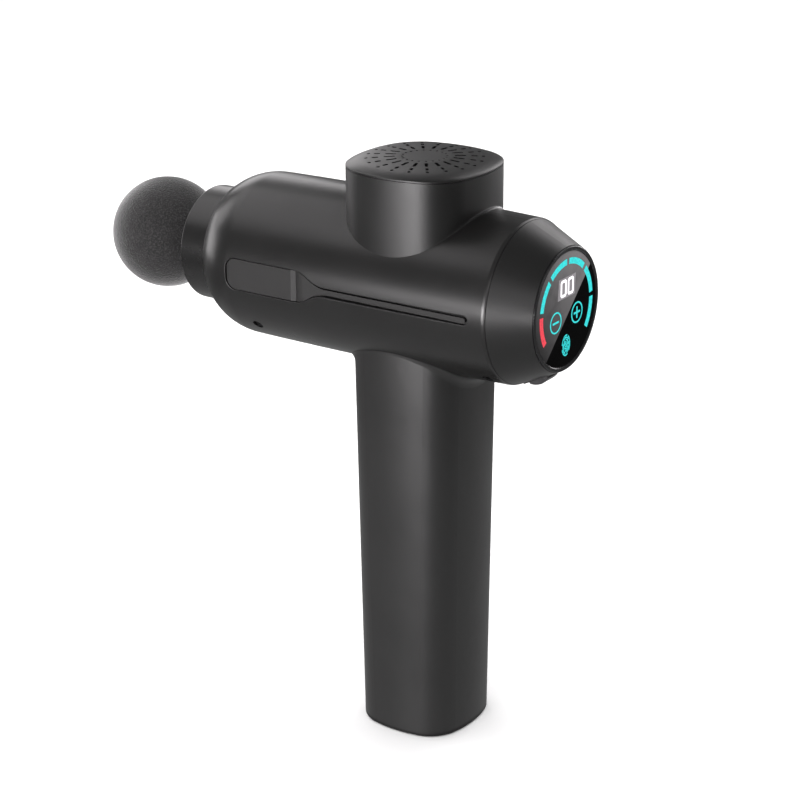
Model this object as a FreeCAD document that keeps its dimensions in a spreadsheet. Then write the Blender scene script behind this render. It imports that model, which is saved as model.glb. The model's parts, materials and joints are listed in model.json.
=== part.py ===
"""Percussion massage gun: barrel with a rear touch display, motor pod, battery handle and ball head.

Frame: +Z up, +X towards the display, the ball head points along -X. The origin is the centre of the
handle's bottom face. Millimetres.
"""
import FreeCAD, Part
import math
import operator
import os

import Sketcher
from FreeCAD import Placement, Rotation, Vector

# Driving dimensions, all in millimetres (angles in degrees, counts as plain numbers).
SIZES = {
    # barrel and shells
    "barrel_z": 194.5, "barrel_radius": 34.5, "barrel_sweep": 2540.0, "shell_wall": 3.0,
    "barrel_front": -92.6, "mouth_radius": 27.86, "shoulder_x": -74.5, "shoulder_radius": 28.0,
    "seam_x": 49.2, "seam_radius": 33.2, "seam_gap": 0.12, "seam_round": 3.0,
    "display_x": 66.3, "bezel_radius": 25.1, "bezel_lip": 0.5, "glass_radius": 23.3,
    "collar_front": -107.8, "collar_radius": 24.4, "collar_flange": 26.6, "collar_mouth": 13.0,
    "recess_half": 6.7, "groove_half": 1.85, "recess_front": -75.8, "recess_rear": 41.4,
    "recess_floor": 32.7, "inlay_scoop": 32.95, "inlay_pad": 33.75, "inlay_rib": 34.0,
    "pad_end": -41.4, "joint_gap": 0.08,
    # motor pod and vent cap
    "pod_half": 29.6, "pod_side": 50.0, "pod_corner": 20.5, "pod_wall": 2.6, "pod_top": 243.7,
    "pod_flare": 1.2, "cap_gap": 0.2, "cap_edge": 0.65, "cap_rise": 2.4, "vent_lines": 20,
    # handle
    "handle_half_x": 24.0, "handle_half_y": 24.5, "handle_top_x": 27.1, "handle_top_y": 26.4,
    "handle_top_z": 190.0, "handle_side": 50.0, "handle_corner": 15.4, "handle_wall": 2.4,
    "handle_flare": 5.5, "base_thickness": 3.0,
    # drive train
    "crank_throw": 6.0, "rod_length": 40.0, "rod_height": 8.0,
    "plunger_radius": 10.0, "plunger_front": -103.0, "plunger_rear": -27.0, "pin_radius": 3.0,
    "running": 0.05, "bush_radius": 12.2, "bush_length": 12.0, "tube_radius": 14.6, "seat_radius": 17.5,
    "case_front": -50.0, "case_rear": 28.0, "case_half_y": 23.0, "case_bottom": 180.0,
    "case_top": 211.5, "case_wall": 3.0, "wheel_z": 199.3,
    "wheel_radius": 13.0, "shaft_radius": 2.5, "bearing_radius": 7.0,
    # motor
    "plate_radius": 24.0, "can_radius": 21.2, "can_bottom": 216.5, "can_top": 233.0,
    "magnet_face": 17.5, "stator_radius": 16.8, "coil_count": 9, "magnet_count": 12,
    "fan_radius": 20.0, "fan_blades": 11,
    # head
    "ball_x": -134.1, "ball_radius": 24.0, "stem_radius": 6.0, "socket_depth": 24.0,
    # battery
    "cell_radius": 9.15, "cell_length": 65.0, "cell_circle": 10.7, "cell_start": 13.0,
    "cell_gap": 6.0,
    # power rocker, on the underside of the rear cap's cone
    "rocker_x": 55.6, "rocker_tilt": 26.0, "rocker_length": 9.4, "rocker_width": 8.0,
    "rocker_rest": 8.0,
    # charging jack
    "jack_x": 12.0, "jack_radius": 4.5, "jack_depth": 4.0,
}
OPERATORS = {"+": operator.add, "-": operator.sub, "*": operator.mul, "/": operator.truediv}
TURNS = {
    "+Z": Rotation(),
    "-Z": Rotation(Vector(1, 0, 0), 180),
    "+X": Rotation(Vector(0, 1, 0), 90),
    "-X": Rotation(Vector(0, 1, 0), -90),
    "+Y": Rotation(Vector(1, 0, 0), -90),
    "-Y": Rotation(Vector(1, 0, 0), 90),
}


class Size:
    """A length that carries its number together with its spreadsheet expression."""

    def __init__(self, text, value):
        self.text = text
        self.value = value

    def __add__(self, other):
        return combined(self, "+", other)

    def __radd__(self, other):
        return combined(other, "+", self)

    def __sub__(self, other):
        return combined(self, "-", other)

    def __rsub__(self, other):
        return combined(other, "-", self)

    def __mul__(self, other):
        return combined(self, "*", other)

    def __rmul__(self, other):
        return combined(other, "*", self)

    def __truediv__(self, other):
        return combined(self, "/", other)

    def __neg__(self):
        return combined(0.0, "-", self)


def number(size):
    return size.value if isinstance(size, Size) else float(size)


def text(size):
    return size.text if isinstance(size, Size) else repr(float(size))


def combined(left, sign, right):
    value = OPERATORS[sign](number(left), number(right))
    return Size(f"({text(left)} {sign} {text(right)})", value)


class Sizes:
    """The driving dimensions as attributes, each bound to its cell."""

    def __init__(self, table):
        for name, value in table.items():
            setattr(self, name, Size(f"Sizes.{name}", value))


doc = FreeCAD.newDocument("massage_gun")
sheet = doc.addObject("Spreadsheet::Sheet", "Sizes")
for row, (alias, dimension) in enumerate(SIZES.items(), start=1):
    sheet.set(f"A{row}", alias)
    sheet.set(f"B{row}", str(dimension))
    sheet.setAlias(f"B{row}", alias)
doc.recompute()
D = Sizes(SIZES)
NODES = {}


# ---- general helpers -------------------------------------------------------------------------

def bind(obj, path, size):
    """Sets a property to a number, or ties it to the sheet."""
    if isinstance(size, Size):
        obj.setExpression(path, size.text)
    else:
        setattr(obj, path, size)


def place(obj, at=(0, 0, 0), turn="+Z"):
    """Turns the object's Z to a direction and moves it, keeping sheet sizes bound."""
    rotation = TURNS[turn] if isinstance(turn, str) else turn
    obj.Placement = Placement(Vector(*[number(c) for c in at]), rotation)
    for axis, size in zip("xyz", at):
        if isinstance(size, Size):
            obj.setExpression(f"Placement.Base.{axis}", size.text)
    return obj


def keep(label, obj):
    """Registers a finished sub-part under the name of its file."""
    obj.Label = label
    NODES[label] = obj
    return obj


def cylinder(radius, height, at=(0, 0, 0), turn="+Z"):
    obj = doc.addObject("Part::Cylinder", "Cylinder")
    bind(obj, "Radius", radius)
    bind(obj, "Height", height)
    return place(obj, at, turn)


def cone(bottom, top, height, at=(0, 0, 0), turn="+Z"):
    obj = doc.addObject("Part::Cone", "Cone")
    bind(obj, "Radius1", bottom)
    bind(obj, "Radius2", top)
    bind(obj, "Height", height)
    return place(obj, at, turn)


def box(low, high, turn=None):
    """An upright box from its lowest to its highest corner."""
    obj = doc.addObject("Part::Box", "Box")
    for side, start, end in zip(("Length", "Width", "Height"), low, high):
        bind(obj, side, end - start)
    return place(obj, low) if turn is None else place(obj, low, turn)


def fuse(*shapes):
    obj = doc.addObject("Part::MultiFuse", "Fusion")
    obj.Shapes = list(shapes)
    return obj


def cut(base, *tools):
    obj = doc.addObject("Part::Cut", "Cut")
    obj.Base = base
    obj.Tool = tools[0] if len(tools) == 1 else fuse(*tools)
    return obj


def group(*shapes):
    """Separate solids kept in one node."""
    obj = doc.addObject("Part::Compound", "Group")
    obj.Links = list(shapes)
    return obj


def tube(outer, inner, length, at=(0, 0, 0), turn="+Z"):
    return cut(cylinder(outer, length, at, turn), cylinder(inner, length, at, turn))


def ring(make, count, start=0.0):
    """Copies of a shape in a ring about the Z axis."""
    copies = []
    for index in range(count):
        copy = group(make())
        turn = Rotation(Vector(0, 0, 1), start + 360.0 * index / count)
        copy.Placement = Placement(Vector(), turn)
        copies.append(copy)
    return copies


# ---- PartDesign helpers ----------------------------------------------------------------------

def new_body(at=(0, 0, 0), rotation="+Z"):
    return place(doc.addObject("PartDesign::Body", "Body"), at, rotation)


def new_sketch(body, plane="XY_Plane", offset=0.0):
    """A sketch on one of the body's origin planes, moved along its normal."""
    sketch = body.newObject("Sketcher::SketchObject", "Sketch")
    support = next(f for f in body.Origin.OriginFeatures if f.Role == plane)
    sketch.AttachmentSupport = (support, [""])
    sketch.MapMode = "FlatFace"
    sketch.AttachmentOffset = Placement(Vector(0, 0, number(offset)), Rotation())
    if isinstance(offset, Size):
        sketch.setExpression("AttachmentOffset.Base.z", offset.text)
    return sketch


def constrain(sketch, kind, *args):
    """Adds a constraint whose last argument may be a sheet size."""
    size = args[-1]
    index = sketch.addConstraint(Sketcher.Constraint(kind, *args[:-1], number(size)))
    if isinstance(size, Size):
        sketch.setExpression(f"Constraints[{index}]", size.text)


def pin_point(sketch, geometry, position, x, y):
    """Ties a sketch point to its coordinates."""
    for size, kind, axis in ((x, "DistanceX", -2), (y, "DistanceY", -1)):
        if number(size) == 0.0:
            sketch.addConstraint(Sketcher.Constraint("PointOnObject", geometry, position, axis))
        else:
            constrain(sketch, kind, -1, 1, geometry, position, size)


def arc_between(start, end, radius):
    """Minor arc from start to end; a positive radius bends left, a negative one right."""
    chord = end - start
    left = Vector(-chord.y, chord.x, 0).normalize()
    reach = math.sqrt(max(radius * radius - chord.Length ** 2 / 4, 0.0))
    centre = (start + end) * 0.5 + left * math.copysign(reach, radius)
    first, last = (start, end) if radius > 0 else (end, start)
    angles = [math.atan2(p.y - centre.y, p.x - centre.x) for p in (first, last)]
    return Part.ArcOfCircle(Part.Circle(centre, Vector(0, 0, 1), abs(radius)), *angles)


def outline(sketch, *corners):
    """Closed outline through (x, y) corners; (x, y, radius) arrives at its corner on an arc."""
    points = [Vector(number(c[0]), number(c[1]), 0) for c in corners]
    edges = []
    for i, corner in enumerate(corners):
        start, end = points[i - 1], points[i]
        if len(corner) == 3:
            radius = number(corner[2])
            edge = sketch.addGeometry(arc_between(start, end, radius))
            edges.append((edge, 1, 2) if radius > 0 else (edge, 2, 1))
        else:
            edges.append((sketch.addGeometry(Part.LineSegment(start, end)), 1, 2))
    for (edge, _, end), (following, start, _) in zip(edges, edges[1:] + edges[:1]):
        sketch.addConstraint(Sketcher.Constraint("Coincident", edge, end, following, start))
    for (edge, _, end), corner in zip(edges, corners):
        pin_point(sketch, edge, end, corner[0], corner[1])
        if len(corner) == 3:
            radius = corner[2] if number(corner[2]) > 0 else -corner[2]
            constrain(sketch, "Radius", edge, radius)


def circle(sketch, x, y, radius):
    shape = Part.Circle(Vector(number(x), number(y), 0), Vector(0, 0, 1), number(radius))
    index = sketch.addGeometry(shape)
    if number(x) == 0.0 and number(y) == 0.0:
        sketch.addConstraint(Sketcher.Constraint("Coincident", index, 3, -1, 1))
    else:
        pin_point(sketch, index, 3, x, y)
    constrain(sketch, "Radius", index, radius)


def squircle(sketch, half_x, half_y, side, corner):
    """Rounded square of four shallow side arcs and four corner arcs, all tangent."""
    reach = number(side) - number(corner)
    u = number(side) - number(half_x)
    v = number(side) - number(half_y)
    span = math.hypot(u, v)
    rise = math.sqrt(reach * reach - span * span / 4)
    centre = Vector(-u / 2 + v / span * rise, -v / 2 + u / span * rise, 0)
    first = math.atan2(centre.y, centre.x + u)
    last = math.atan2(centre.y + v, centre.x)
    quarter = math.pi / 2
    up = Vector(0, 0, 1)
    arcs = []
    for turn in range(4):
        flip_x = 1 if turn in (0, 3) else -1
        flip_y = 1 if turn in (0, 1) else -1
        middle = (Vector(-u, 0, 0), Vector(0, -v, 0), Vector(u, 0, 0), Vector(0, v, 0))[turn]
        spread = first if turn % 2 == 0 else quarter - last
        heading = turn * quarter
        shape = Part.Circle(middle, up, number(side))
        arcs.append(sketch.addGeometry(Part.ArcOfCircle(shape, heading - spread, heading + spread)))
        begin, finish = (first, last) if turn % 2 == 0 else (quarter - last, quarter - first)
        shape = Part.Circle(Vector(flip_x * centre.x, flip_y * centre.y, 0), up, number(corner))
        arcs.append(sketch.addGeometry(Part.ArcOfCircle(shape, heading + begin, heading + finish)))
    for arc, following in zip(arcs, arcs[1:] + arcs[:1]):
        sketch.addConstraint(Sketcher.Constraint("Tangent", arc, 2, following, 1))
    offsets = ((half_x - side, 0.0), (0.0, half_y - side), (side - half_x, 0.0), (0.0, side - half_y))
    for arc, (x, y) in zip(arcs[::2], offsets):
        pin_point(sketch, arc, 3, x, y)
        constrain(sketch, "Radius", arc, side)
    for arc in arcs[1::2]:
        constrain(sketch, "Radius", arc, corner)


def feature(body, kind, sketch=None, **properties):
    """A PartDesign feature; sheet sizes among its properties are bound."""
    obj = body.newObject(f"PartDesign::{kind}", kind)
    if sketch is not None:
        obj.Profile = sketch
    for name, size in properties.items():
        bind(obj, name, size)
    return obj


def revolve(body, sketch, axis):
    return feature(body, "Revolution", sketch, ReferenceAxis=(sketch, [axis]), Angle=360.0)


def turned(corners, at=(0, 0, 0), axis="H_Axis", rotation="+Z"):
    """A body turned from one outline: H_Axis is its own X, V_Axis its own Z."""
    body = new_body(at, rotation)
    sketch = new_sketch(body, "XZ_Plane")
    outline(sketch, *corners)
    revolve(body, sketch, axis)
    return body


def pierce(body, radius, height, placement):
    """Cuts a cylinder that stands at a placement in the body's own frame."""
    tool = feature(body, "SubtractiveCylinder", Radius=radius, Height=height)
    tool.Placement = placement
    return tool


def meeting_edges(shape, radius, height):
    """Names of the curved edges that lie on the barrel's cylinder, clear of its ends."""
    names = []
    for index, edge in enumerate(shape.Edges, start=1):
        if isinstance(edge.Curve, Part.Line):
            continue
        points = edge.discretize(7)
        on_barrel = all(abs(math.hypot(p.y, p.z - height) - radius) < 0.01 for p in points)
        inside = all(abs(p.x) < 45 and abs(p.y) < 33 for p in points)
        if on_barrel and inside:
            names.append(f"Edge{index}")
    return names


def barrel_tool(body, kind, radius):
    """Adds or cuts the barrel's cylinder in a body that meets it."""
    tool = feature(body, kind, Radius=radius, Height=140.0)
    tool.AttachmentSupport = (next(f for f in body.Origin.OriginFeatures if f.Role == "YZ_Plane"), [""])
    tool.MapMode = "FlatFace"
    tool.AttachmentOffset = Placement(Vector(0, number(D.barrel_z), -70), Rotation())
    tool.setExpression("AttachmentOffset.Base.y", D.barrel_z.text)
    return tool


def flare(body, radius, blend):
    """Blends the body's side walls onto the barrel, then takes the barrel away again."""
    solid = barrel_tool(body, "AdditiveCylinder", radius)
    doc.recompute()
    edges = meeting_edges(solid.Shape, number(radius), number(D.barrel_z))
    feature(body, "Fillet", Base=(solid, edges), Radius=blend)
    return barrel_tool(body, "SubtractiveCylinder", radius)


# ---- housing ---------------------------------------------------------------------------------

AXIS = (0, 0, D.barrel_z)
SCREW_SPOTS = {"front": (-66.2, -42.0), "rear": (42.4, -54.0)}
CASE_SCREW = {"head": 2.2, "head_height": 1.2, "shank": 1.2, "depth": 2.2, "lean": 15.0}


def bearing(angle):
    """Unit vector square to the barrel's axis, at an angle in degrees above +Y."""
    return Vector(0, math.cos(math.radians(angle)), math.sin(math.radians(angle)))


def case_screw_spots(pair):
    """Left and right placements of one pair of case screws at the head's seat; Z points inwards."""
    x, angle = SCREW_SPOTS[pair]
    lean = CASE_SCREW["lean"]
    spots = []
    for side, drive in ((angle, angle + lean), (180.0 - angle, 180.0 - angle - lean)):
        surface = bearing(side) * SIZES["barrel_radius"] + Vector(x, 0, 0)
        seat = surface - bearing(drive) * CASE_SCREW["depth"]
        spots.append(Placement(seat, Rotation(Vector(0, 0, 1), -bearing(drive))))
    return spots


def recess_outline(sketch, half, groove, front, rear, corner):
    """Spoon-shaped pad that necks down to a long thin groove with a round end."""
    bend_start, bend_end = -42.0, -25.5
    middle = (bend_start + bend_end) / 2
    run = bend_end - bend_start
    drop = half - groove
    bend = (drop * drop + run * run) / (4 * drop)
    level = (half + groove) / 2
    outline(
        sketch,
        (front + corner, -half, corner),
        (bend_start, -half),
        (middle, -level, bend),
        (bend_end, -groove, -bend),
        (rear - groove, -groove),
        (rear, 0, groove),
        (rear - groove, groove, groove),
        (bend_end, groove),
        (middle, level, -bend),
        (bend_start, half, bend),
        (front + corner, half),
        (front, half - corner, corner),
        (front, corner - half),
    )


def barrel_shell():
    wall = D.shell_wall
    body = turned([
        (D.barrel_front, 19.0),
        (D.barrel_front, D.mouth_radius),
        (D.shoulder_x, D.barrel_radius, -D.shoulder_radius),
        (D.seam_x - 1.6, D.seam_radius + 0.5, -D.barrel_sweep),
        (D.seam_x, D.seam_radius, -D.seam_round),
        (D.seam_x, D.barrel_radius - wall - 0.4),
        (D.shoulder_x, D.barrel_radius - wall),
        (D.barrel_front + wall, 26.5, D.shoulder_radius - wall),
        (D.barrel_front + wall, 19.0),
    ], AXIS)
    for radius, upward in ((26.0, True), (20.0, False)):
        sketch = new_sketch(body)
        circle(sketch, 0, 0, radius)
        feature(body, "Pocket", sketch, Type=1, Reversed=upward)
    sketch = new_sketch(body, "XZ_Plane", D.recess_floor)
    recess_outline(sketch, D.recess_half, D.groove_half, D.recess_front, D.recess_rear, 4.5)
    pocket = feature(body, "Pocket", sketch, Length=6.0, Reversed=True)
    mirror_plane = next(f for f in body.Origin.OriginFeatures if f.Role == "XZ_Plane")
    mirror = feature(body, "Mirrored", Originals=[pocket], MirrorPlane=(mirror_plane, [""]))
    body.Tip = mirror
    doc.recompute()
    feature(body, "Fillet", Base=(mirror, recess_rims(mirror.Shape)), Radius=0.35)
    for pair in SCREW_SPOTS:
        for spot in case_screw_spots(pair):
            pierce(body, CASE_SCREW["head"] + 0.15, 4.0, spot.multiply(back(4.0)))
            pierce(body, CASE_SCREW["shank"], 4.0, spot)
    return keep("barrel_shell", body)


def recess_rims(shape):
    """Names of the edges where the two side recesses break the barrel's surface."""
    names = []
    for index, edge in enumerate(shape.Edges, start=1):
        points = edge.discretize(5)
        low = all(abs(p.z) < SIZES["recess_half"] + 0.1 for p in points)
        outside = all(math.hypot(p.y, p.z) > SIZES["seam_radius"] + 0.4 for p in points)
        along = all(SIZES["recess_front"] - 0.1 < p.x < SIZES["recess_rear"] + 0.1 for p in points)
        if low and outside and along:
            names.append(f"Edge{index}")
    return names


def barrel_clearance():
    """The barrel's outer form, grown by the joint gap, for trimming what meets the barrel."""
    gap = D.joint_gap
    return turned([
        (D.shoulder_x, 0),
        (D.shoulder_x, D.barrel_radius + gap),
        (D.seam_x - 1.6, D.seam_radius + 0.5 + gap, -D.barrel_sweep),
        (D.seam_x - 1.6, 0),
    ], AXIS)


def back(distance):
    """A step back along a placement's own Z."""
    return Placement(Vector(0, 0, -distance), Rotation())


def side_inlay(label, side):
    """Soft-touch strip lying in the side recess: a flat pad, a scoop behind it and a long rib."""
    body = new_body(AXIS)
    sketch = new_sketch(body, "XZ_Plane", D.recess_floor)
    gap = 0.12
    recess_outline(sketch, D.recess_half - gap, 1.05, D.recess_front + gap, D.recess_rear - 0.8, 4.4)
    feature(body, "Pad", sketch, Length=D.inlay_rib - D.recess_floor)
    sketch = new_sketch(body)
    outline(
        sketch,
        (-80.0, -D.inlay_pad),
        (-80.0, -36.0),
        (-36.0, -36.0),
        (-36.0, -D.inlay_rib),
        (D.pad_end + 0.6, -D.inlay_scoop, -10.0),
        (D.pad_end - 1.4, -D.inlay_pad),
    )
    carved = feature(body, "Pocket", sketch, Type=1, Midplane=True)
    doc.recompute()
    feature(body, "Fillet", Base=(carved, edges_at(carved.Shape, -SIZES["inlay_pad"])), Radius=0.3)
    if side > 0:
        mirrored = doc.addObject("Part::Mirroring", "Mirror")
        mirrored.Source = body
        mirrored.Normal = Vector(0, 1, 0)
        return keep(label, mirrored)
    return keep(label, body)


def edges_at(shape, y):
    """Names of the edges that lie wholly in a plane square to Y."""
    flat = [i for i, e in enumerate(shape.Edges, 1)
            if abs(e.BoundBox.YMin - y) < 0.01 and abs(e.BoundBox.YMax - y) < 0.01]
    return [f"Edge{i}" for i in flat]


def front_collar():
    flange = D.barrel_front - 0.1
    return keep("front_collar", turned([
        (D.collar_front, D.collar_mouth),
        (D.collar_front, D.collar_radius - 1.0),
        (D.collar_front + 1.0, D.collar_radius, -1.0),
        (flange - 1.3, D.collar_radius),
        (flange - 1.3, D.collar_flange - 0.5),
        (flange - 0.8, D.collar_flange, -0.5),
        (flange, D.collar_flange),
        (flange, D.seat_radius + 0.1),
        (D.collar_front + 1.6, D.seat_radius + 0.1),
        (D.collar_front + 1.6, D.collar_mouth),
    ], AXIS))


def rear_cap():
    start = D.seam_x + D.seam_gap
    nose = D.display_x - D.bezel_lip - 0.1
    spigot = D.barrel_radius - D.shell_wall - 0.45
    body = turned([
        (start - 13.0, spigot - 2.2),
        (start - 13.0, spigot),
        (start, spigot - 0.1),
        (start, D.seam_radius - 0.15),
        (nose, D.bezel_radius + 0.3),
        (nose, D.bezel_radius - 0.9),
        (nose - 7.3, D.bezel_radius - 0.9),
        (nose - 7.3, D.bezel_radius + 0.8),
        (start + 1.5, spigot - 2.2),
    ], AXIS)
    down = Placement(Vector(0, 0, -SIZES["barrel_z"]), Rotation())
    sketch = new_sketch(body)
    sketch.AttachmentOffset = down.multiply(rocker_place(-3.0))
    half_x = D.rocker_length / 2 + 1.4
    half_y = D.rocker_width / 2 + 1.3
    outline(sketch, (-half_x, -half_y), (half_x, -half_y), (half_x, half_y), (-half_x, half_y))
    feature(body, "Pocket", sketch, Length=7.4, Reversed=True)
    for spot in case_screw_spots("rear"):
        pierce(body, CASE_SCREW["shank"], 8.0, spot)
    return keep("rear_cap", body)


def motor_cover():
    body = new_body()
    sketch = new_sketch(body, offset=210.0)
    squircle(sketch, D.pod_half, D.pod_half, D.pod_side, D.pod_corner)
    feature(body, "Pad", sketch, Length=D.pod_top - 210.0)
    flare(body, D.barrel_radius - 0.4, D.pod_flare)
    sketch = new_sketch(body, offset=D.pod_top)
    half = D.pod_half - D.pod_wall
    squircle(sketch, half, half, D.pod_side, D.pod_corner - D.pod_wall)
    feature(body, "Pocket", sketch, Length=60.0)
    return keep("motor_cover", cut(body, barrel_clearance()))


def vent_cap():
    """Lid of the pod: a low dome over the pod's outline, with radial lines of vents."""
    body = new_body()
    base = D.pod_top + D.cap_gap
    profile = ((1.0, 0.0), (1.0, 0.213), (0.988, 0.3), (0.95, 0.46), (0.88, 0.64), (0.79, 0.78),
               (0.5, 0.95), (0.275, 1.0))
    sketches = []
    for scale, share in profile:
        rise = D.cap_edge + D.cap_rise
        sketch = new_sketch(body, offset=base + rise * share)
        squircle(sketch, D.pod_half * scale, D.pod_half * scale, D.pod_side * scale, D.pod_corner * scale)
        sketches.append(sketch)
    feature(body, "AdditiveLoft", sketches[0], Sections=sketches[1:2], Ruled=True)
    feature(body, "AdditiveLoft", sketches[1], Sections=sketches[2:])
    hollow = new_sketch(body, offset=base)
    circle(hollow, 0, 0, 25.6)
    feature(body, "Pocket", hollow, Length=1.3, Reversed=True)
    skirt = new_sketch(body, offset=base)
    circle(skirt, 0, 0, 26.8)
    circle(skirt, 0, 0, 25.6)
    feature(body, "Pad", skirt, Length=2.6, Reversed=True)
    vents = new_sketch(body, offset=base)
    circle(vents, 9.0, 0, 0.52)
    for start, end in ((11.8, 16.5), (18.5, 21.2)):
        slot(vents, start, end, 0.66)
    circle(vents, 23.4, 0, 0.74)
    pocket = feature(body, "Pocket", vents, Type=1, Reversed=True)
    pattern = feature(body, "PolarPattern", Originals=[pocket], Axis=(vents, ["N_Axis"]), Angle=360.0)
    pattern.Occurrences = SIZES["vent_lines"]
    pattern.setExpression("Occurrences", D.vent_lines.text)
    body.Tip = pattern
    return keep("vent_cap", body)


def dust_screen():
    """Felt disc under the lid's vents: air passes, fluff doesn't, and the motor stays out of sight."""
    base = D.pod_top + D.cap_gap
    return keep("dust_screen", cylinder(25.4, 0.9, (0, 0, base + 0.3)))


def slot(sketch, start, end, half):
    """A round-ended slot along the sketch's X."""
    outline(
        sketch,
        (start + half, -half, half),
        (end - half, -half),
        (end, 0, half),
        (end - half, half, half),
        (start + half, half),
        (start, 0, half),
    )


HANDLE_ENDS = {
    "foot": (D.handle_half_x, D.handle_half_y, 0.0),
    "head": (D.handle_top_x, D.handle_top_y, D.handle_top_z),
}


def handle_section(body, end, inset):
    """Outline of one end of the handle, drawn in by an inset."""
    half_x, half_y, height = HANDLE_ENDS[end]
    sketch = new_sketch(body, offset=height)
    squircle(sketch, half_x - inset, half_y - inset, D.handle_side, D.handle_corner - inset)
    return sketch


def handle_shell():
    body = new_body()
    outer = [handle_section(body, end, 0.0) for end in HANDLE_ENDS]
    feature(body, "AdditiveLoft", outer[0], Sections=outer[1:], Ruled=True)
    flared = flare(body, D.barrel_radius - 0.4, D.handle_flare)
    doc.recompute()
    foot = [f"Edge{i}" for i, e in enumerate(flared.Shape.Edges, 1) if e.BoundBox.ZMax < 0.01]
    feature(body, "Fillet", Base=(flared, foot), Radius=1.4)
    inner = [handle_section(body, end, D.handle_wall) for end in HANDLE_ENDS]
    feature(body, "SubtractiveLoft", inner[0], Sections=inner[1:], Ruled=True)
    return keep("handle_shell", cut(body, barrel_clearance()))


BASE_SCREWS = ((14.72, 8.5), (-14.72, 8.5), (0.0, -17.0))


def base_cap():
    """Plug in the handle's open foot: it carries the charging jack and three screws."""
    body = new_body()
    sketch = handle_section(body, "foot", D.handle_wall + 0.1)
    feature(body, "Pad", sketch, Length=D.base_thickness)
    holes = new_sketch(body)
    circle(holes, D.jack_x, 0, D.jack_radius)
    for x, y in BASE_SCREWS:
        circle(holes, x, y, 1.65)
    feature(body, "Pocket", holes, Type=1, Reversed=True)
    heads = new_sketch(body)
    for x, y in BASE_SCREWS:
        circle(heads, x, y, 2.9)
    feature(body, "Pocket", heads, Length=1.8, Reversed=True)
    return keep("base_cap", body)


def base_screws():
    """Socket-head screws from the base cap up into the lower cell holder."""
    screws = [screw(2.7, 1.5, 1.5, 12.4, (x, y, 1.8), "+Z") for x, y in BASE_SCREWS]
    return keep("base_screws", group(*screws))


def screw(head, head_height, shank, length, at, turn):
    """A socket-head screw: its seat is at the given point and its shank runs along the turn."""
    parts = fuse(cylinder(head, head_height, (0, 0, -head_height)), cylinder(shank, length))
    socket = doc.addObject("Part::Prism", "Socket")
    socket.Polygon = 6
    socket.Circumradius = head * 0.45
    socket.Height = head_height * 0.6
    place(socket, (0, 0, -head_height))
    finished = cut(parts, socket)
    if isinstance(at, Placement):
        finished.Placement = at
        return finished
    return place(finished, at, turn)


def case_screws(pair, length):
    origin = Placement(Vector(0, 0, SIZES["barrel_z"]), Rotation())
    sizes = (CASE_SCREW["head"], CASE_SCREW["head_height"], CASE_SCREW["shank"], length)
    screws = [screw(*sizes, origin.multiply(spot), None) for spot in case_screw_spots(pair)]
    return keep(f"{pair}_case_screws", group(*screws))


# ---- display ---------------------------------------------------------------------------------

def display_bezel():
    back_face = D.display_x - 7.7
    return keep("display_bezel", turned([
        (back_face, D.bezel_radius - 3.2),
        (back_face, D.bezel_radius - 1.0),
        (D.display_x - D.bezel_lip, D.bezel_radius - 1.0),
        (D.display_x - D.bezel_lip, D.bezel_radius),
        (D.display_x - 0.3, D.bezel_radius),
        (D.display_x, D.bezel_radius - 0.3, -0.3),
        (D.display_x, D.glass_radius + 0.5),
        (D.display_x - 0.4, D.glass_radius + 0.1),
        (D.display_x - 2.0, D.glass_radius + 0.1),
        (D.display_x - 2.0, D.bezel_radius - 3.2),
    ], AXIS))


def display_glass():
    return keep("display_glass", turned([
        (D.display_x - 2.0, 0.0),
        (D.display_x - 0.4, 0.0),
        (D.display_x - 0.4, D.glass_radius - 0.3),
        (D.display_x - 0.7, D.glass_radius, 0.3),
        (D.display_x - 2.0, D.glass_radius),
    ], AXIS))


def display_board():
    board = cylinder(21.7, 1.6, (D.display_x - 7.2, 0, D.barrel_z), "+X")
    notches = [
        box((D.display_x - 8, -3.0 + 20 * side, D.barrel_z - 2), (D.display_x - 5, 3.0 + 20 * side,
            D.barrel_z + 2)) for side in (-1, 1)
    ]
    return keep("display_board", cut(board, *notches))


def digit_module():
    """Two-digit LED block between the board and the glass."""
    front = D.display_x - 2.2
    block = box((D.display_x - 5.6, -7.2, D.barrel_z + 4.0), (front, 7.2, D.barrel_z + 13.4))
    wells = [
        box((front - 1.0, y - 2.6, D.barrel_z + 5.4), (front, y + 2.6, D.barrel_z + 12.0))
        for y in (-3.5, 3.5)
    ]
    return keep("digit_module", cut(block, *wells))


def touch_springs():
    """Coil contacts that carry each touch key from the glass to the board."""
    springs = [
        tube(2.4, 1.8, 3.2, (D.display_x - 5.5, y, D.barrel_z + z), "+X")
        for y, z in ((-8.2, -3.7), (8.2, -3.7), (0.0, -15.0))
    ]
    return keep("touch_springs", group(*springs))


def control_board():
    """Motor controller, upright across the barrel behind the drive frame."""
    board = box((34.0, -19.0, D.barrel_z - 15), (35.6, 19.0, D.barrel_z + 17))
    return keep("control_board", board)


def board_parts():
    """Six power transistors, two capacitors and the controller chip."""
    z = D.barrel_z
    parts = [
        box((35.6, 6.0 * i - 17.3, z + 8), (37.0, 6.0 * i - 12.7, z + 13)) for i in range(6)
    ]
    parts.append(box((35.6, -4.5, z - 6), (36.8, 4.5, z + 3)))
    parts += [cylinder(4.0, 9.0, (35.6, y, z - 9), "+X") for y in (-12.0, 12.0)]
    return keep("board_parts", group(*parts))


# ---- power rocker ----------------------------------------------------------------------------

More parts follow.
